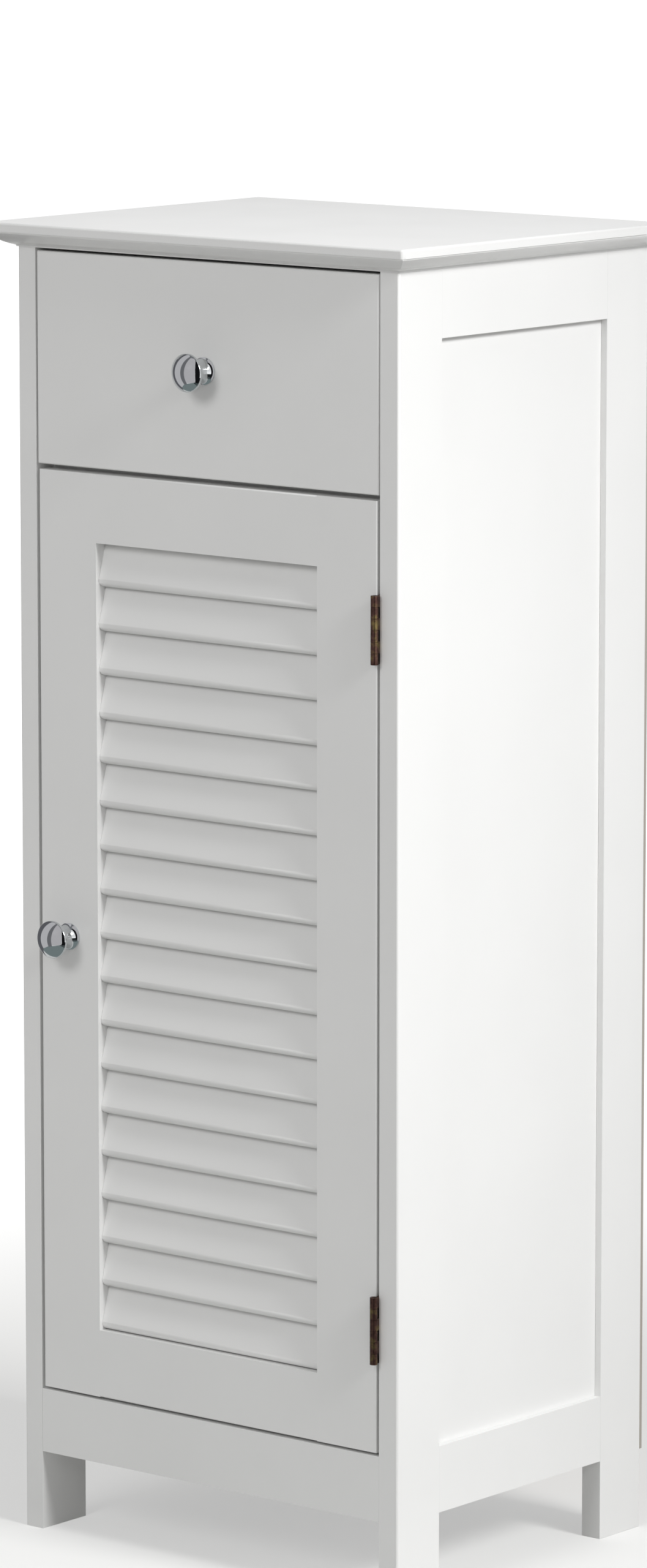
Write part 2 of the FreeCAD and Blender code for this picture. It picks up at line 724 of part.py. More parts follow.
def make_drawer_front():
    front = new_body("drawer_front", -drawer_front_width / 2, front_y, drawer_front_bottom)
    block(front, (ZERO, ZERO, ZERO),
          (drawer_front_width, sizes.front_thickness, sizes.drawer_front_height))
    sheet_width = drawer_inner_width + sizes.bottom_groove_depth * 2
    groove_x = drawer_front_width / 2 - sheet_width / 2
    groove_y = sizes.front_thickness - sizes.bottom_groove_depth
    groove_z = drawer_bottom_z + sizes.bottom_groove_level - drawer_front_bottom
    cut_block(front, (groove_x, groove_y, groove_z),
              (sheet_width, sizes.bottom_groove_depth, sizes.drawer_bottom_thickness))
    soften_front(front)


def make_drawer_side(side):
    x = -drawer_half_width if side == "left" else drawer_half_width - sizes.drawer_side_thickness
    thick = sizes.drawer_side_thickness
    board = new_body("drawer_%s_side" % side, x, front_y + sizes.front_thickness, drawer_bottom_z)
    block(board, (ZERO, ZERO, ZERO), (thick, sizes.drawer_side_length, sizes.drawer_side_height))
    groove = sizes.runner_thickness - sizes.drawer_side_play + sizes.runner_play
    outside = ZERO if side == "left" else thick - groove
    start = runner_y - front_y - sizes.front_thickness - sizes.runner_play
    cut_block(board, (outside, start, sizes.runner_level - sizes.runner_play),
              (groove, sizes.drawer_side_length - start, sizes.runner_height + sizes.runner_play * 2))
    inside = thick - sizes.bottom_groove_depth if side == "left" else ZERO
    cut_block(board, (inside, ZERO, sizes.bottom_groove_level),
              (sizes.bottom_groove_depth, sizes.drawer_side_length, sizes.drawer_bottom_thickness))
    housing = thick - sizes.housing_depth if side == "left" else ZERO
    cut_block(board, (housing, sizes.drawer_side_length - thick - sizes.drawer_back_inset,
                      sizes.bottom_groove_level),
              (sizes.housing_depth, thick, sizes.drawer_side_height - sizes.bottom_groove_level))

    def upper_edge(edge, middle):
        return is_along(edge, "y") and near(middle.z, sizes.drawer_side_height)

    fillet(board, sizes.edge_round, upper_edge)


def make_drawer_back():
    lift = sizes.bottom_groove_level + sizes.drawer_bottom_thickness
    width = drawer_inner_width + sizes.housing_depth * 2
    back = new_body("drawer_back", -width / 2,
                    drawer_back_y - sizes.drawer_back_inset - sizes.drawer_side_thickness,
                    drawer_bottom_z + lift)
    block(back, (ZERO, ZERO, ZERO),
          (width, sizes.drawer_side_thickness, sizes.drawer_side_height - lift - sizes.edge_round))


def make_drawer_bottom():
    width = drawer_inner_width + sizes.bottom_groove_depth * 2
    y = front_y + sizes.front_thickness - sizes.bottom_groove_depth
    bottom = new_body("drawer_bottom", -width / 2, y, drawer_bottom_z + sizes.bottom_groove_level)
    block(bottom, (ZERO, ZERO, ZERO),
          (width, sizes.bottom_groove_depth + sizes.drawer_side_length, sizes.drawer_bottom_thickness))


# ---------------------------------------------------------------- louvred door

def door_tenon():
    """Place and extent, in the thickness and up a rail, of the tenons of the door's rails."""
    height = sizes.door_rail_height - sizes.door_tenon_rise - sizes.door_tenon_drop
    y = (sizes.front_thickness - sizes.door_tenon_thickness) / 2
    return (y, sizes.door_tenon_rise, sizes.door_tenon_thickness, height)


def make_door_stile(side):
    """A stile of the door: two mortises, and a slanted slot for the end of every slat."""
    x = -door_width / 2 if side == "left" else door_width / 2 - sizes.door_stile_width
    stile = new_body("door_%s_stile" % side, x, front_y, door_bottom)
    block(stile, (ZERO, ZERO, ZERO), (sizes.door_stile_width, sizes.front_thickness, door_height))

    def inner(depth):
        return sizes.door_stile_width - depth if side == "left" else ZERO

    y, z, thickness, height = door_tenon()
    for level in (z, door_height - sizes.door_rail_height + z):
        cut_block(stile, (inner(sizes.door_tenon_length), y, level),
                  (sizes.door_tenon_length, thickness, height))
    sketch = new_sketch(stile, "side", inner(sizes.slot_depth))
    draw_slat(sketch, lowest_slat - door_bottom, sizes.slot_play)
    slot = pocket(stile, sketch, "side", sizes.slot_depth)
    repeat(stile, slot, "z", slat_pitch * (sizes.slat_count - 1), sizes.slat_count)
    outer = ZERO if side == "left" else sizes.door_stile_width

    def outer_edge(edge, middle):
        return is_along(edge, "z") and near(middle.x, outer) and near(middle.y, ZERO)

    fillet(stile, sizes.edge_round, outer_edge)


def draw_slat(sketch, level, play=ZERO):
    """Section of a slat with its rounded nose in front and low, or of its slot with play."""
    lean = sine(sizes.slat_tilt)
    rise = cosine(sizes.slat_tilt)
    half = sizes.slat_thickness / 2
    front_face = half + play
    nose_y = sizes.slat_setback + half * rise + (sizes.slat_round - half) * (1 - lean)
    nose_z = level + half * lean

    def place(along, out):
        return (nose_y + along * lean - out * rise, nose_z + along * rise + out * lean)

    corners = [place(-play, -front_face), place(sizes.slat_width + play, -front_face),
               place(sizes.slat_width + play, front_face), place(sizes.slat_round, front_face),
               place(-play, half - sizes.slat_round)]
    return draw_outline(sketch, corners, {3: sizes.slat_round + play})


def make_door_rail(level):
    """A rail of the door; the upper one is rebated behind for the tail of the first slat."""
    upper = level == "top"
    z = door_top - sizes.door_rail_height if upper else door_bottom
    whole = opening_width + sizes.door_tenon_length * 2
    rail = new_body("door_%s_rail" % level, -whole / 2, front_y, z)
    block(rail, (sizes.door_tenon_length, ZERO, ZERO),
          (opening_width, sizes.front_thickness, sizes.door_rail_height))
    tenon_y, tenon_z, thickness, height = door_tenon()
    block(rail, (ZERO, tenon_y, tenon_z), (whole, thickness, height))
    if upper:
        tail_room = slat_height - slat_pitch + sizes.slat_setback
        cut_block(rail, (sizes.door_tenon_length, sizes.rebate_lip, ZERO),
                  (opening_width, sizes.front_thickness - sizes.rebate_lip, tail_room))
    outer = sizes.door_rail_height if upper else ZERO

    def outer_edge(edge, middle):
        return is_along(edge, "x") and near(middle.z, outer) and near(middle.y, ZERO)

    fillet(rail, sizes.edge_round, outer_edge)


def make_slats():
    """The slats, numbered from the top down, all from one section."""
    count = int(sizes.slat_count.number)
    length = opening_width + sizes.slot_depth * 2
    for number in range(1, count + 1):
        level = lowest_slat + slat_pitch * (count - number)
        slat = new_body("louvre_slat_%02d" % number, -length / 2, front_y, level)
        pad(slat, draw_slat(new_sketch(slat, "side"), ZERO), "side", length)


# ---------------------------------------------------------------- the whole cabinet

def make_cabinet():
    make_top_board()
    for side in ("left", "right"):
        for end in ("front", "rear"):
            make_leg(side, end)
        for level in ("upper", "lower"):
            make_side_rail(side, level)
        make_side_panel(side)
        make_batten(side, "shelf", sizes.shelf_level)
        make_batten(side, "top", leg_top)
        make_runner(side)
    make_front_apron()
    make_housed_board("cupboard_floor", sizes.board, floor_bottom)
    make_housed_board("drawer_divider", divider_setback, divider_bottom)
    make_back_panel()
    make_shelf()
    make_catch()
    for name, level in hinge_levels.items():
        make_leaf(name + "_hinge_frame_leaf", "frame", level)
        make_leaf(name + "_hinge_door_leaf", "door", level)
    make_hinge_pins()

    make_drawer_front()
    for side in ("left", "right"):
        make_drawer_side(side)
    make_drawer_back()
    make_drawer_bottom()
    make_knob("drawer_knob", ZERO, drawer_knob_z)

    for side in ("left", "right"):
        make_door_stile(side)
    for level in ("top", "bottom"):
        make_door_rail(level)
    make_slats()
    make_knob("door_knob", door_knob_x, knob_z)
    make_strike_plate()


def check_document():
    """Stops on any failed feature and on any output that isn't a sound solid."""
    doc.recompute()
    for item in doc.Objects:
        if "Invalid" in item.State or "Error" in item.State:
            raise ValueError("%s failed: %s" % (item.Label, item.State))
    for item in outputs:
        if item.Shape.isNull() or not item.Shape.isValid() or not item.Shape.Solids:
            raise ValueError("%s has no valid shape" % item.Label)


def write_parts():
    os.makedirs("parts", exist_ok=True)
    for item in outputs:
        item.Shape.exportStep(os.path.join("parts", item.Label + ".step"))
    print("%d nodes written" % len(outputs))


make_cabinet()
check_document()
write_parts()
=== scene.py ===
"""Louvred door cabinet: finishes, turned knobs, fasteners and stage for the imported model.

Everything is in metres in the cabinet's own frame: +Z up, +X to the right, the front faces -Y,
and the origin is on the floor under the middle of the cabinet.
"""
import math

import bmesh
import bpy
from mathutils import Matrix, Vector


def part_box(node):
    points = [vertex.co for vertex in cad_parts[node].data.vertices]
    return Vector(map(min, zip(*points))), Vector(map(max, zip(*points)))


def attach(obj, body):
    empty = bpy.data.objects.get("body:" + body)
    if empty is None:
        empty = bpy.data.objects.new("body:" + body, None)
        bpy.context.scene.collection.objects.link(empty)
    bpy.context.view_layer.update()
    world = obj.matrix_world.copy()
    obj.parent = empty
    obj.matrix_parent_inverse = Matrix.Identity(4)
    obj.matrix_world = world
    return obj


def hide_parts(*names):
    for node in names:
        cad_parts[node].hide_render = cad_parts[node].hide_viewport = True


bl_info = {
    "name": "Louvred door cabinet",
    "version": (1, 0, 0),
    "blender": (4, 5, 0),
    "location": "3D View > Sidebar > Cabinet",
    "description": "Paints a louvred door cabinet, turns its knobs and drives its screws",
    "category": "Object",
}

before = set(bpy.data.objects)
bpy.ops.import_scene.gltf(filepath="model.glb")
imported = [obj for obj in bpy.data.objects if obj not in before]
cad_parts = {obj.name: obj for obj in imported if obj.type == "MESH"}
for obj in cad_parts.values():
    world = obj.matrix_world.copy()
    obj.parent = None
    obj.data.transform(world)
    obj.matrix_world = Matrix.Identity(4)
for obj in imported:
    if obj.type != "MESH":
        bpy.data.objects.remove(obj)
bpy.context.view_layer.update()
MM = 0.001


# ---------------------------------------------------------------- colours and nodes

def linear(text):
    """An sRGB hex colour as the linear red, green and blue that Blender works with."""
    parts = [int(text[place:place + 2], 16) / 255 for place in (1, 3, 5)]
    return tuple(part / 12.92 if part <= 0.04045 else ((part + 0.055) / 1.055) ** 2.4
                 for part in parts)


def scaled(colour, factor):
    """The colour, lighter or darker by a factor, with the alpha that node sockets want."""
    return (*[min(1.0, part * factor) for part in colour[:3]], 1.0)


def add_node(tree, kind, settings=None, **inputs):
    """Adds a node, sets its settings, and fills or links the inputs named.

    Spaces in an input's name are written as underscores; a socket given as the value is linked.
    An underscore and a number stand for the input at that place, where names repeat.
    """
    node = tree.nodes.new(kind)
    for name, value in (settings or {}).items():
        setattr(node, name, value)
    for name, value in inputs.items():
        key = int(name[1:]) if name[0] == "_" else name.replace("_", " ")
        socket = node.inputs[key]
        if isinstance(value, bpy.types.NodeSocket):
            tree.links.new(value, socket)
        else:
            socket.default_value = value
    return node


def new_material(name):
    """An empty node material and its tree."""
    material = bpy.data.materials.new(name)
    material.use_nodes = True
    material.node_tree.nodes.clear()
    return material, material.node_tree


def finish_material(tree, shader):
    """Sends the shader to the material's output."""
    add_node(tree, "ShaderNodeOutputMaterial", Surface=shader.outputs[0])


def places(tree, stretch=(1, 1, 1)):
    """Positions on the piece in millimetres, squeezed along the grain by stretch."""
    coordinates = add_node(tree, "ShaderNodeTexCoord")
    scale = [1 / (MM * part) for part in stretch]
    return add_node(tree, "ShaderNodeMapping", Vector=coordinates.outputs["Object"],
                    Scale=scale).outputs["Vector"]


def seen_directly(tree):
    """1 where the camera looks, or a mirror or glass, and 0 where surfaces gather light."""
    path = add_node(tree, "ShaderNodeLightPath")
    mirrored = add_node(tree, "ShaderNodeMath", {"operation": "MAXIMUM"},
                        _0=path.outputs["Is Camera Ray"], _1=path.outputs["Is Glossy Ray"])
    return add_node(tree, "ShaderNodeMath", {"operation": "MAXIMUM"}, _0=mirrored.outputs[0],
                    _1=path.outputs["Is Transmission Ray"]).outputs[0]


def noise(tree, vector, size_mm, detail=2.0, roughness=0.5):
    """Cloudy noise whose patches are about size_mm across."""
    return add_node(tree, "ShaderNodeTexNoise", Vector=vector, Scale=1 / size_mm,
                    Detail=detail, Roughness=roughness).outputs["Fac"]


def shades(tree, factor, stops):
    """A colour ramp from (place, colour) stops."""
    ramp = add_node(tree, "ShaderNodeValToRGB", Fac=factor)
    elements = ramp.color_ramp.elements
    while len(elements) < len(stops):
        elements.new(0.5)
    for element, (place, colour) in zip(elements, stops):
        element.position = place
        element.color = colour
    return ramp.outputs["Color"]


def levels(tree, factor, low, high):
    """A number that goes from low to high as the factor goes from 0.25 to 0.75."""
    return add_node(tree, "ShaderNodeMapRange", Value=factor, To_Min=low, To_Max=high,
                    From_Min=0.25, From_Max=0.75).outputs["Result"]


def bump(tree, height, depth_mm, strength):
    """Relief of depth_mm from a height between 0 and 1."""
    return add_node(tree, "ShaderNodeBump", Height=height, Distance=depth_mm * MM,
                    Strength=strength).outputs["Normal"]


# ---------------------------------------------------------------- finishes

def sprayed_lacquer(name, colour):
    """Satin white lacquer sprayed on primed fibreboard: a soft even sheen, faintly uneven."""
    material, tree = new_material(name)
    here = places(tree)
    # brush-free spray leaves broad, barely visible differences in tone
    tone = shades(tree, noise(tree, here, 110, 2), [(0.3, scaled(colour, 0.985)),
                                                    (0.7, scaled(colour, 1.012))])
    # orange peel has cells of about 2 mm and a hundredth of a millimetre of height
    peel = noise(tree, here, 2.4, 0)
    # below a roughness of 0.28 a denoiser draws the edges of the smoothest places
    shader = add_node(tree, "ShaderNodeBsdfPrincipled", Base_Color=tone, IOR=1.5,
                      Roughness=levels(tree, noise(tree, here, 35, 3), 0.285, 0.34),
                      Normal=bump(tree, peel, 0.01, 0.5))
    finish_material(tree, shader)
    return material


def planed_pine(name, colour, grain):
    """Planed and sanded softwood: straight grain lines about 3 mm apart along the piece."""
    material, tree = new_material(name)
    # a streak is 34 times as long as it is wide
    here = places(tree, [34.0 if axis == grain else 1.0 for axis in range(3)])
    bands = noise(tree, here, 3.2, 3, 0.55)
    fibres = noise(tree, here, 0.7, 2, 0.6)
    tone = shades(tree, bands, [(0.30, scaled(colour, 1.08)), (0.52, scaled(colour, 0.98)),
                                (0.62, scaled(colour, 0.80)), (0.70, scaled(colour, 0.98))])
    patches = noise(tree, places(tree), 60, 2)
    mixed = add_node(tree, "ShaderNodeMix", {"data_type": "RGBA", "blend_type": "MULTIPLY"},
                     Factor=levels(tree, patches, 0.0, 0.35), _6=tone,
                     _7=(*linear("#EEE6DA"), 1))
    shader = add_node(tree, "ShaderNodeBsdfPrincipled", Base_Color=mixed.outputs[2], IOR=1.5,
                      Roughness=levels(tree, fibres, 0.52, 0.66),
                      Normal=bump(tree, fibres, 0.05, 0.6))
    finish_material(tree, shader)
    return material


def birch_plywood(name, colour):
    """Rotary-cut birch face: pale, with soft flowing figure about 12 mm wide."""
    material, tree = new_material(name)
    # the grain runs from side to side: its figure is 7 times as long as wide, its pores 20 times
    figure = noise(tree, places(tree, (7.0, 1.0, 1.0)), 12, 3, 0.5)
    fine = noise(tree, places(tree, (20.0, 1.0, 1.0)), 0.9, 2)
    tone = shades(tree, figure, [(0.3, scaled(colour, 1.06)), (0.55, scaled(colour, 0.97)),
                               (0.7, scaled(colour, 0.90))])
    shader = add_node(tree, "ShaderNodeBsdfPrincipled", Base_Color=tone, IOR=1.5,
                      Roughness=levels(tree, fine, 0.5, 0.62), Normal=bump(tree, fine, 0.03, 0.5))
    finish_material(tree, shader)
    return material


def lacquered_hardboard(name, board_colour, face_colour, edge_colour):
    """Thin pressed fibreboard: brown and mottled behind, lacquered inside, greyed at its edges."""
    material, tree = new_material(name)
    here = places(tree)
    flecks = noise(tree, here, 1.6, 4, 0.7)
    brown = shades(tree, flecks, [(0.3, scaled(board_colour, 0.86)),
                                  (0.7, scaled(board_colour, 1.12))])
    # the side of the sheet is told by where its surface points
    normal = add_node(tree, "ShaderNodeSeparateXYZ",
                      Vector=add_node(tree, "ShaderNodeNewGeometry").outputs["Normal"])
    inside = add_node(tree, "ShaderNodeMath", {"operation": "LESS_THAN"},
                      _0=normal.outputs["Y"], _1=-0.5)
    behind = add_node(tree, "ShaderNodeMath", {"operation": "GREATER_THAN"},
                      _0=normal.outputs["Y"], _1=0.5)
    front = add_node(tree, "ShaderNodeMix", {"data_type": "RGBA"}, Factor=inside.outputs[0],
                     _6=scaled(edge_colour, 1), _7=scaled(face_colour, 0.97))
    mixed = add_node(tree, "ShaderNodeMix", {"data_type": "RGBA"}, Factor=behind.outputs[0],
                     _6=front.outputs[2], _7=brown)
    shader = add_node(tree, "ShaderNodeBsdfPrincipled", Base_Color=mixed.outputs[2], IOR=1.5,
                      Roughness=levels(tree, flecks, 0.45, 0.6),
                      Normal=bump(tree, flecks, 0.04, 0.6))
    finish_material(tree, shader)
    return material


def chrome_plate(name, colour):
    """Bright chrome over polished zinc casting: a clear mirror with the least haze."""
    material, tree = new_material(name)
    haze = noise(tree, places(tree), 1.4, 3, 0.6)
    shader = add_node(tree, "ShaderNodeBsdfPrincipled", Base_Color=scaled(colour, 1),
                      Metallic=1.0, Roughness=levels(tree, haze, 0.025, 0.06))
    finish_material(tree, shader)
    return material


def antique_bronze_plate(name, colour, worn_colour):
    """Dark bronze plating rubbed through to a brassy tone in cloudy patches."""
    material, tree = new_material(name)
    here = places(tree)
    cloud = noise(tree, here, 6.5, 4, 0.65)
    fine = noise(tree, here, 0.8, 3, 0.6)
    tone = shades(tree, cloud, [(0.34, scaled(colour, 0.62)), (0.50, scaled(colour, 1.10)),
                                (0.62, scaled(worn_colour, 0.7)), (0.76, scaled(worn_colour, 1))])
    shader = add_node(tree, "ShaderNodeBsdfPrincipled", Base_Color=tone, Metallic=1.0,
                      Roughness=levels(tree, fine, 0.30, 0.46), Normal=bump(tree, fine, 0.02, 0.4))
    finish_material(tree, shader)
    return material


def zinc_plated_steel(name, colour):
    """Bright zinc on pressed steel: grey, slightly cloudy, with a dull shine."""
    material, tree = new_material(name)
    here = places(tree)
    cloud = noise(tree, here, 2.5, 3, 0.6)
    tone = shades(tree, cloud, [(0.3, scaled(colour, 0.85)), (0.7, scaled(colour, 1.08))])
    shader = add_node(tree, "ShaderNodeBsdfPrincipled", Base_Color=tone, Metallic=1.0,
                      Roughness=levels(tree, cloud, 0.28, 0.42))
    finish_material(tree, shader)
    return material


def moulded_abs(name, colour):
    """Injection-moulded ABS with the fine spark-eroded texture of its mould."""
    material, tree = new_material(name)
    # the real texture is near 0.1 mm; it is drawn at 0.4 mm, the finest that shows
    grit = noise(tree, places(tree), 0.4, 2)
    shader = add_node(tree, "ShaderNodeBsdfPrincipled", Base_Color=scaled(colour, 1), IOR=1.54,
                      Roughness=levels(tree, grit, 0.42, 0.52), Normal=bump(tree, grit, 0.02, 0.5))
    finish_material(tree, shader)
    return material


def shaded_recess(name, colour):
    """Painted shade on the floor of a screw's cross, which is drawn far shallower than the real
    one.
    """
    material, tree = new_material(name)
    recess_shade_mottle = noise(tree, places(tree), 0.5, 2)
    # the dark tone is painted shade, mottled at random
    tone = shades(tree, recess_shade_mottle, [(0.3, scaled(colour, 0.7)), (0.7, scaled(colour, 1.3))])
    finish_material(tree, add_node(tree, "ShaderNodeBsdfPrincipled", Base_Color=tone, IOR=1.5,
                                   Roughness=levels(tree, recess_shade_mottle, 0.6, 0.8)))
    return material


# ---------------------------------------------------------------- mesh helpers

def mesh_object(name, data):
    """A mesh object linked to the scene."""
    piece = bpy.data.objects.new(name, data)
    bpy.context.scene.collection.objects.link(piece)
    return piece


def mesh_from(shape, name):
    """Turns a bmesh into a mesh and frees it."""
    data = bpy.data.meshes.new(name)
    shape.to_mesh(data)
    shape.free()
    return data


def turned_mesh(name, profile, segments):
    """A solid turned about +Z from (radius, height) points that begin and end on the axis."""
    shape = bmesh.new()
    rings = []
    for radius, height in profile:
        if radius < 1e-9:
            rings.append([shape.verts.new((0, 0, height))])
            continue
        turns = [2 * math.pi * step / segments for step in range(segments)]
        rings.append([shape.verts.new((radius * math.cos(turn), radius * math.sin(turn), height))
                      for turn in turns])
    for lower, upper in zip(rings, rings[1:]):
        for step in range(segments):
            after = (step + 1) % segments
            corners = [lower[step % len(lower)], lower[after % len(lower)],
                       upper[after % len(upper)], upper[step % len(upper)]]
            unique = list(dict.fromkeys(corners))
            if len(unique) > 2:
                shape.faces.new(unique)
    bmesh.ops.recalc_face_normals(shape, faces=shape.faces)
    return mesh_from(shape, name)


def shade_smooth(data, angle_deg):
    """Smooth shading with edges kept sharp above an angle."""
    data.shade_smooth()
    data.set_sharp_from_angle(angle=math.radians(angle_deg))


def copies(data, name, matrices):
    """One mesh that holds a copy of data at each matrix."""
    shape = bmesh.new()
    for matrix in matrices:
        one = data.copy()
        one.transform(matrix)
        shape.from_mesh(one)
        bpy.data.meshes.remove(one)
    return mesh_from(shape, name)


def facing(place, normal, turn=0.0):
    """The matrix that puts something made about +Z at a place, pointing along normal."""
    aim = Vector(normal).to_track_quat("Z", "Y").to_matrix().to_4x4()
    return Matrix.Translation(Vector(place)) @ aim @ Matrix.Rotation(turn, 4, "Z")


def block_mesh(name, blocks):
    """One mesh of straight blocks, each given by its lowest and its highest corner."""
    shape = bmesh.new()
    for low, high in blocks:
        low, high = Vector(low), Vector(high)
        verts = bmesh.ops.create_cube(shape, size=1.0)["verts"]
        bmesh.ops.scale(shape, vec=high - low, verts=verts)
        bmesh.ops.translate(shape, vec=(low + high) / 2, verts=verts)
    return mesh_from(shape, name)


def arc_points(centre, radius, from_deg, to_deg, steps):
    """Points of an arc in the (radius, height) plane."""
    turns = [math.radians(from_deg + (to_deg - from_deg) * step / steps)
             for step in range(steps + 1)]
    return [(centre[0] + radius * math.cos(turn), centre[1] + radius * math.sin(turn))
            for turn in turns]


def soften(node, width):
    """Takes the sharp arrises off a board, as sanding before the paint does."""
    # the carried-over mesh repeats its corners, and only joined ones can be rounded
    weld = node.modifiers.new("closed_corners", "WELD")
    weld.merge_threshold = 0.002 * MM
    bevel = node.modifiers.new("sanded_arrises", "BEVEL")
    bevel.width = width
    bevel.segments = 2
    bevel.limit_method = "ANGLE"
    bevel.angle_limit = math.radians(40)
    bevel.harden_normals = True


def give(node_name, material):
    """Gives a carried-over node its finish."""
    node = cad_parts[node_name]
    node.data.materials.clear()
    node.data.materials.append(material)
    return node


def cross_head(name, radius, thickness, rise, recess_depth):
    """A screw head with a cross recess, its seat at z = 0 and pointing along +Z."""
    steps, top = 6, thickness + rise
    crown = [(radius * math.cos(math.pi / 2 * step / steps),
              thickness + rise * math.sin(math.pi / 2 * step / steps))
             for step in range(steps)]
    head = mesh_object(name, turned_mesh(name, [(0, 0), (radius, 0), *crown, (0, top)], 40))
    arm, width = radius * 0.62, radius * 0.2
    low, high = top - recess_depth, top + recess_depth
    cutter = mesh_object("recess", block_mesh("recess", [
        ((-arm, -width, low), (arm, width, high)), ((-width, -arm, low), (width, arm, high))]))
    cut = head.modifiers.new("recess", "BOOLEAN")
    cut.object = cutter
    cut.operation = "DIFFERENCE"
    cut.solver = "EXACT"
    cut.use_self = True
    graph = bpy.context.evaluated_depsgraph_get()
    data = bpy.data.meshes.new_from_object(head.evaluated_get(graph))
    data.name = name
    bpy.data.objects.remove(head)
    bpy.data.objects.remove(cutter)
    # the floor of the recess takes the second finish that drive gives, its painted shade
    for face in data.polygons:
        place = face.center
        if place.xy.length < arm and abs(place.z - low) < 0.01 * MM:
            face.material_index = 1
    return data


def countersunk_head(name, radius, flush):
    """A nearly flat screw head that stands as far as flush over its seat."""
    return cross_head(name, radius, thickness=flush * 0.4, rise=flush * 0.6,
                      recess_depth=flush * 0.9)


def drive(name, head, matrices, body, kind):
    """Puts like heads in place as one piece that moves with a body, in that kind of finish."""
    data = copies(head, name, matrices)
    data.materials.append(finish(kind))
    # the second finish paints shade on the floor of each cross
    data.materials.append(finish("recess"))
    shade_smooth(data, 35)
    piece = mesh_object(name, data)
    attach(piece, body)


def middle(node_name):
    """The middle of a node's box."""
    low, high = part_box(node_name)
    return (low + high) / 2


def between(low, high, count):
    """Evenly spread values from low to high."""
    return [low + (high - low) * step / (count - 1) for step in range(count)]


# ---------------------------------------------------------------- settings

class CabinetFinishes(bpy.types.PropertyGroup):
    """Colours of the finishes, and how much sanding takes off the edges"""
    paint: bpy.props.FloatVectorProperty(
        name="Paint", description="Satin lacquer of boards, slats and fronts",
        subtype="COLOR", min=0, max=1, default=linear("#F1F1F0"))
    pine: bpy.props.FloatVectorProperty(
        name="Pine", description="Bare softwood of battens, runners and drawer box",
        subtype="COLOR", min=0, max=1, default=linear("#DDC095"))
    plywood: bpy.props.FloatVectorProperty(
        name="Plywood", description="Birch sheet in the bottom of the drawer",
        subtype="COLOR", min=0, max=1, default=linear("#E0C9A2"))
    hardboard: bpy.props.FloatVectorProperty(
        name="Hardboard", description="Bare face and edges of the back",
        subtype="COLOR", min=0, max=1, default=linear("#A0805F"))
    board_edge: bpy.props.FloatVectorProperty(
        name="Board edge", description="Greyed sawn edges of the back",
        subtype="COLOR", min=0, max=1, default=linear("#A9A39B"))
    chrome: bpy.props.FloatVectorProperty(
        name="Chrome", description="Plating of the knobs",
        subtype="COLOR", min=0, max=1, default=linear("#D3D6D8"))
    bronze: bpy.props.FloatVectorProperty(
        name="Bronze", description="Dark plating of the hinges",
        subtype="COLOR", min=0, max=1, default=linear("#5C443E"))
    worn_bronze: bpy.props.FloatVectorProperty(
        name="Worn bronze", description="Brassy tone where the hinge plating is rubbed",
        subtype="COLOR", min=0, max=1, default=linear("#8E7C54"))
    zinc: bpy.props.FloatVectorProperty(
        name="Zinc", description="Plating of screws, nails and strike plate",
        subtype="COLOR", min=0, max=1, default=linear("#B4B7BA"))
    catch: bpy.props.FloatVectorProperty(
        name="Catch", description="Plastic body of the magnetic catch",
        subtype="COLOR", min=0, max=1, default=linear("#E9E9E4"))
    recess: bpy.props.FloatVectorProperty(
        name="Recess", description="Shade in the cross of a screw's head",
        subtype="COLOR", min=0, max=1, default=linear("#242322"))
    arris: bpy.props.FloatProperty(
        name="Arris", description="How much sanding takes off a board's edges",
        unit="LENGTH", min=0.00005, max=0.002, default=0.35 * MM)


class CabinetFastenings(bpy.types.PropertyGroup):
    """Sizes of the heads of screws and nails"""
    hinge_head: bpy.props.FloatProperty(
        name="Hinge screw", description="Radius of a hinge screw's head",
        unit="LENGTH", min=0.001, max=0.005, default=2.3 * MM)
    wood_head: bpy.props.FloatProperty(
        name="Wood screw", description="Radius of a batten or runner screw's head",
        unit="LENGTH", min=0.001, max=0.006, default=3.2 * MM)
    knob_head: bpy.props.FloatProperty(
        name="Knob screw", description="Radius of the pan head behind a knob",
        unit="LENGTH", min=0.002, max=0.008, default=4.0 * MM)
    catch_head: bpy.props.FloatProperty(
        name="Catch screw", description="Radius of the raised heads in the catch's ears",
        unit="LENGTH", min=0.001, max=0.004, default=2.6 * MM)
    strike_head: bpy.props.FloatProperty(
        name="Strike screw", description="Radius of the flat heads in the strike plate",
        unit="LENGTH", min=0.001, max=0.004, default=2.3 * MM)
    nail_head: bpy.props.FloatProperty(
        name="Nail", description="Radius of a nail's head in the back",
        unit="LENGTH", min=0.0005, max=0.004, default=1.7 * MM)
    nail_spacing: bpy.props.FloatProperty(
        name="Nail spacing", description="Between the nails round the back",
        unit="LENGTH", min=0.03, max=0.3, default=85 * MM)
    flush: bpy.props.FloatProperty(
        name="Flush", description="How far countersunk heads stand over their seat",
        unit="LENGTH", min=0.00001, max=0.0005, default=0.1 * MM)


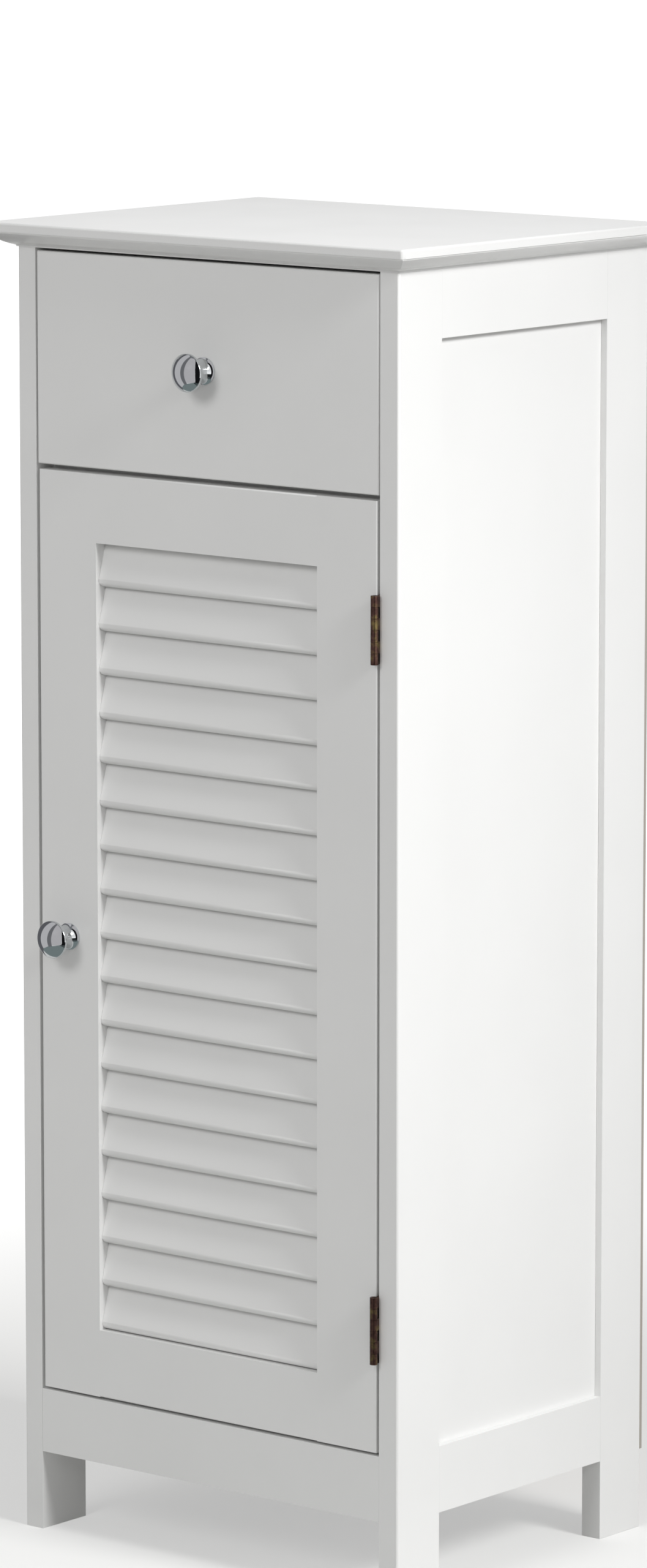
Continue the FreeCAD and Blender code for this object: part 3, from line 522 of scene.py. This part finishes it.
class CabinetStudio(bpy.types.PropertyGroup):
    """Camera and lights"""
    azimuth: bpy.props.FloatProperty(
        name="Azimuth", description="Camera round the cabinet, from the front to its right",
        subtype="ANGLE", default=math.radians(39.5))
    elevation: bpy.props.FloatProperty(
        name="Elevation", description="Camera above the horizon",
        subtype="ANGLE", default=math.radians(9.01))
    target: bpy.props.FloatVectorProperty(
        name="Target", description="Point that the camera looks at",
        subtype="XYZ", unit="LENGTH", default=(-0.009, 0.012, 0.4998))
    distance: bpy.props.FloatProperty(
        name="Distance", description="Camera from its target",
        unit="LENGTH", min=0.5, max=20, default=4.7)
    lens: bpy.props.FloatProperty(
        name="Lens", description="Focal length on a sensor 36 mm tall",
        min=20, max=400, default=164.2)
    world_light: bpy.props.FloatProperty(
        name="Room light", description="Even light from all round", min=0, max=2, default=0.34)
    key_light: bpy.props.FloatProperty(
        name="Key light", description="Large soft lamp, high at the right", min=0, max=500,
        default=8.4)
    front_light: bpy.props.FloatProperty(
        name="Front light", description="Soft lamp, high before the front", min=0, max=500,
        default=21.4)


SETTINGS = (("cabinet_finishes", CabinetFinishes), ("cabinet_fastenings", CabinetFastenings),
            ("cabinet_studio", CabinetStudio))
FINISHES = {}


def finish(kind):
    """The cabinet's finish of that kind, made the first time it is asked for."""
    colours = bpy.context.scene.cabinet_finishes
    makers = {
        "lacquer": lambda: sprayed_lacquer("sprayed_satin_lacquer", colours.paint),
        "pine_across": lambda: planed_pine("planed_pine_across", colours.pine, 0),
        "pine_deep": lambda: planed_pine("planed_pine_front_to_back", colours.pine, 1),
        "plywood": lambda: birch_plywood("birch_plywood", colours.plywood),
        "hardboard": lambda: lacquered_hardboard("lacquered_hardboard", colours.hardboard,
                                                 colours.paint, colours.board_edge),
        "chrome": lambda: chrome_plate("polished_chrome_plate", colours.chrome),
        "bronze": lambda: antique_bronze_plate("antique_bronze_plate", colours.bronze,
                                               colours.worn_bronze),
        # the driver rubs the heads of the hinge screws bright
        "rubbed": lambda: antique_bronze_plate("rubbed_bronze_plate", colours.worn_bronze,
                                               colours.worn_bronze),
        "zinc": lambda: zinc_plated_steel("zinc_plated_steel", colours.zinc),
        "abs": lambda: moulded_abs("moulded_white_abs", colours.catch),
        "recess": lambda: shaded_recess("shaded_recess", colours.recess),
    }
    if kind not in FINISHES:
        FINISHES[kind] = makers[kind]()
    return FINISHES[kind]


# ---------------------------------------------------------------- operators

class CABINET_OT_paint_carcass(bpy.types.Operator):
    """Paints the legs, rails, panels, top, apron, floor, divider and shelf"""
    bl_idname = "cabinet.paint_carcass"
    bl_label = "Paint the carcass"

    boards = ("top_board", "front_apron", "cupboard_floor", "drawer_divider", "cupboard_shelf")

    def execute(self, context):
        arris = context.scene.cabinet_finishes.arris
        sided = [f"{side}_{part}" for side in ("left", "right")
                 for part in ("front_leg", "rear_leg", "upper_rail", "lower_rail", "side_panel")]
        for name in (*self.boards, *sided):
            soften(give(name, finish("lacquer")), arris)
        return {"FINISHED"}


class CABINET_OT_paint_fronts(bpy.types.Operator):
    """Paints the drawer front and the door's frame and slats"""
    bl_idname = "cabinet.paint_fronts"
    bl_label = "Paint the fronts"

    boards = ("drawer_front", "door_left_stile", "door_right_stile", "door_top_rail",
              "door_bottom_rail")

    def execute(self, context):
        arris = context.scene.cabinet_finishes.arris
        slats = [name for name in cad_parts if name.startswith("louvre_slat")]
        for name in (*self.boards, *slats):
            soften(give(name, finish("lacquer")), arris)
        return {"FINISHED"}


class CABINET_OT_finish_bare_wood(bpy.types.Operator):
    """Gives battens, runners and the drawer box their bare wood"""
    bl_idname = "cabinet.finish_bare_wood"
    bl_label = "Bare wood inside"

    deep = ("left_shelf_batten", "right_shelf_batten", "left_top_batten", "right_top_batten",
            "left_drawer_runner", "right_drawer_runner", "drawer_left_side",
            "drawer_right_side")

    def execute(self, context):
        arris = context.scene.cabinet_finishes.arris
        for name in self.deep:
            soften(give(name, finish("pine_deep")), arris)
        soften(give("drawer_back", finish("pine_across")), arris)
        give("drawer_bottom", finish("plywood"))
        return {"FINISHED"}


class CABINET_OT_nail_back(bpy.types.Operator):
    """Finishes the back sheet and nails it round its edges"""
    bl_idname = "cabinet.nail_back"
    bl_label = "Nail the back on"

    def execute(self, context):
        sizes = context.scene.cabinet_fastenings
        give("back_panel", finish("hardboard"))
        low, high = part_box("back_panel")
        inset = 7 * MM
        bottom, top = low.z + inset, high.z - inset
        count = round((top - bottom) / sizes.nail_spacing) + 1
        spots = [(side * (high.x - inset), level) for side in (-1, 1)
                 for level in between(bottom, top, count)]
        # three more nails along the bottom, along the top and into the divider
        across = between(low.x + inset, high.x - inset, 5)[1:-1]
        rows = (bottom, top, middle("drawer_divider").z)
        spots += [(x, level) for x in across for level in rows]
        radius, rise = sizes.nail_head, sizes.flush * 0.6
        head = turned_mesh("nail_head", [(0, 0), (radius, 0), (radius, rise / 3),
                                         (radius * 0.8, rise * 0.8), (0, rise)], 20)
        drive("back_panel_nails", head, [facing((x, high.y, z), (0, 1, 0)) for x, z in spots],
              "carcass", "zinc")
        return {"FINISHED"}


class CABINET_OT_hang_door(bpy.types.Operator):
    """Plates the hinges and drives the screws of their leaves"""
    bl_idname = "cabinet.hang_door"
    bl_label = "Hinges"

    leaf_thickness = 0.9 * MM
    # each screw above the middle of its leaf and in from the leaf's back edge, in mm
    screws = ((-13.5, 5.0), (0, 10.0), (13.5, 5.0))

    def execute(self, context):
        sizes = context.scene.cabinet_fastenings
        give("hinge_pins", finish("bronze"))
        head = countersunk_head("hinge_screw_head", sizes.hinge_head, sizes.flush)
        on_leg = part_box("right_front_leg")[0].x - self.leaf_thickness
        on_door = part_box("door_right_stile")[1].x + self.leaf_thickness
        for kind, body, normal, flat in (("frame", "carcass", -1, on_leg),
                                         ("door", "door", 1, on_door)):
            seats = []
            for level in ("upper", "lower"):
                name = f"{level}_hinge_{kind}_leaf"
                give(name, finish("bronze"))
                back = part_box(name)[1].y
                # the crosses of a leaf stand at different angles, as screws come to rest
                seats += [facing((flat, back - inset * MM, middle(name).z + rise * MM),
                                 (normal, 0, 0), 0.3 + rise) for rise, inset in self.screws]
            drive(f"{kind}_leaf_screws", head, seats, body, "rubbed")
        return {"FINISHED"}


class CABINET_OT_turn_knobs(bpy.types.Operator):
    """Turns the chrome knobs and screws them on from behind"""
    bl_idname = "cabinet.turn_knobs"
    bl_label = "Knobs"

    def execute(self, context):
        sizes = context.scene.cabinet_fastenings
        screw = cross_head("knob_screw_head", sizes.knob_head, thickness=1.3 * MM,
                           rise=1.0 * MM, recess_depth=1.4 * MM)
        for body, node, board in (("drawer", "drawer_knob", "drawer_front"),
                                  ("door", "door_knob", "door_left_stile")):
            low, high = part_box(node)
            centre = (low + high) / 2
            reach, radius = high.y - low.y, (high.x - low.x) / 2
            data = turned_mesh(f"{node}_turned", self.profile(reach, radius), 96)
            data.transform(facing((centre.x, high.y, centre.z), (0, -1, 0)))
            data.materials.append(finish("chrome"))
            shade_smooth(data, 50)
            knob = mesh_object(f"turned_{node}", data)
            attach(knob, body)
            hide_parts(node)
            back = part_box(board)[1].y
            drive(f"{node}_screw", screw, [facing((centre.x, back, centre.z), (0, 1, 0), 0.4)],
                  body, "zinc")
        return {"FINISHED"}

    @staticmethod
    def profile(reach, head):
        """Foot, flared neck, undercut, rim and domed head as (radius, height) points."""
        foot, neck = 0.715 * head, 0.41 * head
        edge, rim, dome, arris = 1.2 * MM, 1.6 * MM, 5.8 * MM, 0.3 * MM
        rim_low = reach - dome - rim
        waist = edge + 0.46 * (rim_low - edge)
        parts = [step / 12 for step in range(1, 13)]
        points = [(0, 0), (foot - arris, 0), (foot, arris), (foot, edge)]
        # from the foot first inwards and then up to the waist of the neck
        for part in parts:
            ease = part * part * (3 - 2 * part)
            points.append((foot + (neck - foot) * math.sin(part * math.pi / 2),
                           edge + (waist - edge) * (0.35 * part + 0.65 * ease)))
        # from the waist first up and then out to the rim
        points += [(neck + (head - neck) * (1 - math.cos(part * math.pi / 2)),
                    waist + (rim_low - waist) * math.sin(part * math.pi / 2) ** 0.8)
                   for part in parts]
        points += [(head, rim_low + rim * part) for part in (0.3, 0.7, 1.0)]
        globe = (dome * dome + head * head) / (2 * dome)
        start = math.degrees(math.acos(head / globe))
        crown = arc_points((0, reach - globe), globe, start, 90, 26)
        return points + crown[1:-1] + [(0, reach)]


class CABINET_OT_fit_catch(bpy.types.Operator):
    """Finishes the magnetic catch and its strike plate, with pole plates and screws"""
    bl_idname = "cabinet.fit_catch"
    bl_label = "Magnetic catch"

    # each screw from the middle of the catch or of its strike plate
    ear_screw, strike_screw = 18.25 * MM, 9 * MM
    ear_thickness = 3 * MM
    # the steel on both sides of the magnet: half sizes, levels from the middle of the catch,
    # how deep it is drawn and how far it stands out of the plastic
    pole_half_width, pole_half_height = 11 * MM, 0.6 * MM
    pole_levels, pole_depth, pole_proud = (-3.6 * MM, 1.6 * MM), 1 * MM, 0.1 * MM

    def execute(self, context):
        sizes = context.scene.cabinet_fastenings
        self.fit_magnet(sizes)
        self.fit_strike_plate(sizes)
        return {"FINISHED"}

    def fit_magnet(self, sizes):
        """The plastic body under the divider, its two screws and its pole plates."""
        give("magnetic_catch", finish("abs"))
        centre, front = middle("magnetic_catch"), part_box("magnetic_catch")[0].y
        head = cross_head("catch_screw_head", sizes.catch_head, thickness=0.5 * MM,
                          rise=0.5 * MM, recess_depth=0.7 * MM)
        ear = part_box("drawer_divider")[0].z - self.ear_thickness
        seats = [facing((centre.x + side * self.ear_screw, centre.y, ear), (0, 0, -1), side)
                 for side in (-1, 1)]
        drive("catch_screws", head, seats, "carcass", "zinc")
        blocks = []
        for level in self.pole_levels:
            blocks.append(((centre.x - self.pole_half_width, front - self.pole_proud,
                            centre.z + level - self.pole_half_height),
                           (centre.x + self.pole_half_width, front + self.pole_depth,
                            centre.z + level + self.pole_half_height)))
        plates = mesh_object("catch_pole_plates", block_mesh("catch_pole_plates", blocks))
        plates.data.materials.append(finish("zinc"))
        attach(plates, "carcass")

    def fit_strike_plate(self, sizes):
        """The steel plate on the back of the door and its two screws."""
        give("catch_strike_plate", finish("zinc"))
        head = countersunk_head("strike_screw_head", sizes.strike_head, sizes.flush)
        centre, back = middle("catch_strike_plate"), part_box("catch_strike_plate")[1].y
        seats = [facing((centre.x + side * self.strike_screw, back, centre.z), (0, 1, 0), side)
                 for side in (-1, 1)]
        drive("strike_screws", head, seats, "door", "zinc")


class CABINET_OT_drive_screws(bpy.types.Operator):
    """Drives the screws of battens and drawer runners"""
    bl_idname = "cabinet.drive_screws"
    bl_label = "Batten and runner screws"

    # the outer screws from the ends of their strip, and how many it has
    from_end, per_strip = 22 * MM, 3

    def execute(self, context):
        sizes = context.scene.cabinet_fastenings
        head = countersunk_head("wood_screw_head", sizes.wood_head, sizes.flush)
        seats = []
        for part in ("shelf_batten", "top_batten", "drawer_runner"):
            for side, inward in (("left", 1), ("right", -1)):
                low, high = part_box(f"{side}_{part}")
                face = high.x if inward > 0 else low.x
                for y in between(low.y + self.from_end, high.y - self.from_end, self.per_strip):
                    place = (face, y, (low.z + high.z) / 2)
                    # the crosses of a strip stand at different angles
                    seats.append(facing(place, (inward, 0, 0), y * 40))
        drive("carcass_screws", head, seats, "carcass", "zinc")
        return {"FINISHED"}


class CABINET_OT_set_stage(bpy.types.Operator):
    """Lays the floor, hangs the lamps and sets up the camera"""
    bl_idname = "cabinet.set_stage"
    bl_label = "Stage"

    # place, the point aimed at, diameter and spread in degrees of each lamp
    lamps = {"key": ((3.0, -0.25, 2.45), (0.17, -0.4, 0.55), 1.2, 45),
             "front": ((0.2, -2.75, 2.05), (0, -0.1, 0.45), 1.2, 180)}
    # azimuth round the knobs in degrees, distance and width of each upright card, and its tone,
    # the painted reflection it glows with
    upright_cards = ((-58, 0.72, 0.54, "#CBC9CB"), (8, 0.72, 0.73, "#C6C3C5"),
                     (-100, 0.71, 0.62, "#66666A"), (-29, 0.69, 0.25, "#77777A"),
                     (50, 0.69, 0.36, "#18181A"))
    # place, width, length and tone of the painted reflection cards over the cabinet and on the
    # floor
    level_cards = (((0, -0.2, 2.58), 1.6, 1.4, "#7F8184"),
                   ((-0.1, -0.5, 0.002), 1.4, 0.72, "#7F8A8A"),
                   ((1.0, -0.4, 0.002), 1.4, 1.2, "#232628"))
    card_height, knobs_y = 2.6, -0.14

    def execute(self, context):
        studio = context.scene.cabinet_studio
        self.lay_floor()
        self.light_room(context.scene, studio.world_light)
        for name, setting in self.lamps.items():
            self.hang_lamp(f"{name}_lamp", *setting, getattr(studio, f"{name}_light"))
        self.stand_cards()
        self.set_up_camera(context.scene, studio)
        context.scene.view_settings.view_transform = "Standard"
        return {"FINISHED"}

    @staticmethod
    def set_up_camera(scene, studio):
        """A camera that looks at its target from the azimuth, elevation and distance set."""
        data = bpy.data.cameras.new("camera")
        camera = bpy.data.objects.new("camera", data)
        scene.collection.objects.link(camera)
        back = Vector((math.sin(studio.azimuth) * math.cos(studio.elevation),
                       -math.cos(studio.azimuth) * math.cos(studio.elevation),
                       math.sin(studio.elevation)))
        camera.location = Vector(studio.target) + back * studio.distance
        camera.rotation_euler = (-back).to_track_quat("-Z", "Y").to_euler()
        data.sensor_width = 36
        data.lens = studio.lens
        data.clip_start, data.clip_end = 0.1, 60
        scene.camera = camera

    @staticmethod
    def lay_floor():
        """A pale paper floor that brightens to the white of the room away from the cabinet."""
        shape = bmesh.new()
        bmesh.ops.create_circle(shape, cap_ends=True, segments=96, radius=25)
        floor = mesh_object("floor", mesh_from(shape, "floor"))
        material, tree = new_material("pale_studio_floor")
        shown = seen_directly(tree)
        away = add_node(tree, "ShaderNodeVectorMath", {"operation": "LENGTH"},
                        _0=add_node(tree, "ShaderNodeTexCoord").outputs["Object"])
        lift = add_node(tree, "ShaderNodeMapRange", {"interpolation_type": "SMOOTHSTEP"},
                        Value=away.outputs["Value"], From_Min=0.35, From_Max=1.6,
                        To_Min=0.4, To_Max=1.0)
        paper = add_node(tree, "ShaderNodeBsdfDiffuse", Color=(*linear("#C4C4C2"), 1))
        glow = add_node(tree, "ShaderNodeEmission", Color=(1, 1, 1, 1),
                        Strength=lift.outputs["Result"])
        lifted = add_node(tree, "ShaderNodeAddShader", _0=paper.outputs[0], _1=glow.outputs[0])
        mixed = add_node(tree, "ShaderNodeMixShader", Fac=shown, _1=paper.outputs[0],
                         _2=lifted.outputs[0])
        finish_material(tree, mixed)
        floor.data.materials.append(material)

    def stand_cards(self):
        """Glowing grey cards and black flags that only reflections see: painted reflections, as
        round studio chrome.
        """
        for azimuth, distance, width, tone in self.upright_cards:
            turn = math.radians(azimuth)
            away = Vector((math.sin(turn), -math.cos(turn), 0))
            # its lower edge is a centimetre off the floor
            place = away * distance + Vector((0, self.knobs_y, self.card_height / 2 + 0.01))
            self.stand_card(facing(place, away), width, self.card_height, tone)
        for place, width, length, tone in self.level_cards:
            self.stand_card(Matrix.Translation(place), width, length, tone)

    @staticmethod
    def stand_card(matrix, width, height, tone):
        """One card, flat in the plane of the matrix, glowing with its tone as a painted
        reflection.
        """
        shape = bmesh.new()
        bmesh.ops.create_grid(shape, x_segments=1, y_segments=1, size=0.5)
        bmesh.ops.scale(shape, vec=(width, height, 1), verts=shape.verts)
        data = mesh_from(shape, "card")
        data.transform(matrix)
        card = mesh_object("card", data)
        material, tree = new_material("mirrored_card")
        finish_material(tree, add_node(tree, "ShaderNodeEmission", Color=(*linear(tone), 1)))
        data.materials.append(material)
        # the card glows with a fixed tone, is seen only in reflections and casts no shadow
        card.visible_camera = card.visible_diffuse = card.visible_shadow = False
        card.visible_transmission = False

    @staticmethod
    def light_room(scene, world_light):
        """A room that looks white, but lights the cabinet more weakly than white would."""
        world = bpy.data.worlds.new("studio")
        scene.world = world
        world.use_nodes = True
        tree = world.node_tree
        tree.nodes.clear()
        strength = add_node(tree, "ShaderNodeMapRange", Value=seen_directly(tree),
                            To_Min=world_light, To_Max=1.0)
        light = add_node(tree, "ShaderNodeBackground", Color=(1, 1, 1, 1),
                         Strength=strength.outputs["Result"])
        add_node(tree, "ShaderNodeOutputWorld", Surface=light.outputs[0])

    @staticmethod
    def hang_lamp(name, place, target, size, spread, power):
        """A round softbox whose grid lets its light fan out by so many degrees."""
        data = bpy.data.lights.new(name, "AREA")
        data.shape = "DISK"
        data.size = size
        data.spread = math.radians(spread)
        data.energy = power
        lamp = bpy.data.objects.new(name, data)
        bpy.context.scene.collection.objects.link(lamp)
        lamp.location = place
        aim = Vector(target) - Vector(place)
        lamp.rotation_euler = aim.to_track_quat("-Z", "Y").to_euler()


STEPS = (CABINET_OT_paint_carcass, CABINET_OT_paint_fronts, CABINET_OT_finish_bare_wood,
         CABINET_OT_nail_back, CABINET_OT_hang_door, CABINET_OT_turn_knobs,
         CABINET_OT_fit_catch, CABINET_OT_drive_screws, CABINET_OT_set_stage)


class CABINET_PT_sidebar(bpy.types.Panel):
    """The cabinet's sizes, colours and steps"""
    bl_idname = "CABINET_PT_sidebar"
    bl_label = "Louvred door cabinet"
    bl_space_type = "VIEW_3D"
    bl_region_type = "UI"
    bl_category = "Cabinet"

    def draw(self, context):
        for name, group in SETTINGS:
            box = self.layout.box()
            for setting in group.__annotations__:
                box.prop(getattr(context.scene, name), setting)
        for step in STEPS:
            self.layout.operator(step.bl_idname)


def register():
    """Adds the settings, the steps and the panel."""
    for name, group in SETTINGS:
        bpy.utils.register_class(group)
        setattr(bpy.types.Scene, name, bpy.props.PointerProperty(type=group))
    for kind in (*STEPS, CABINET_PT_sidebar):
        bpy.utils.register_class(kind)


def unregister():
    """Takes them away again, in the opposite order."""
    for kind in reversed((*STEPS, CABINET_PT_sidebar)):
        bpy.utils.unregister_class(kind)
    for name, group in reversed(SETTINGS):
        delattr(bpy.types.Scene, name)
        bpy.utils.unregister_class(group)


def main():
    register()
    for step in STEPS:
        group, name = step.bl_idname.split(".")
        getattr(getattr(bpy.ops, group), name)()


if __name__ == "__main__":
    main()
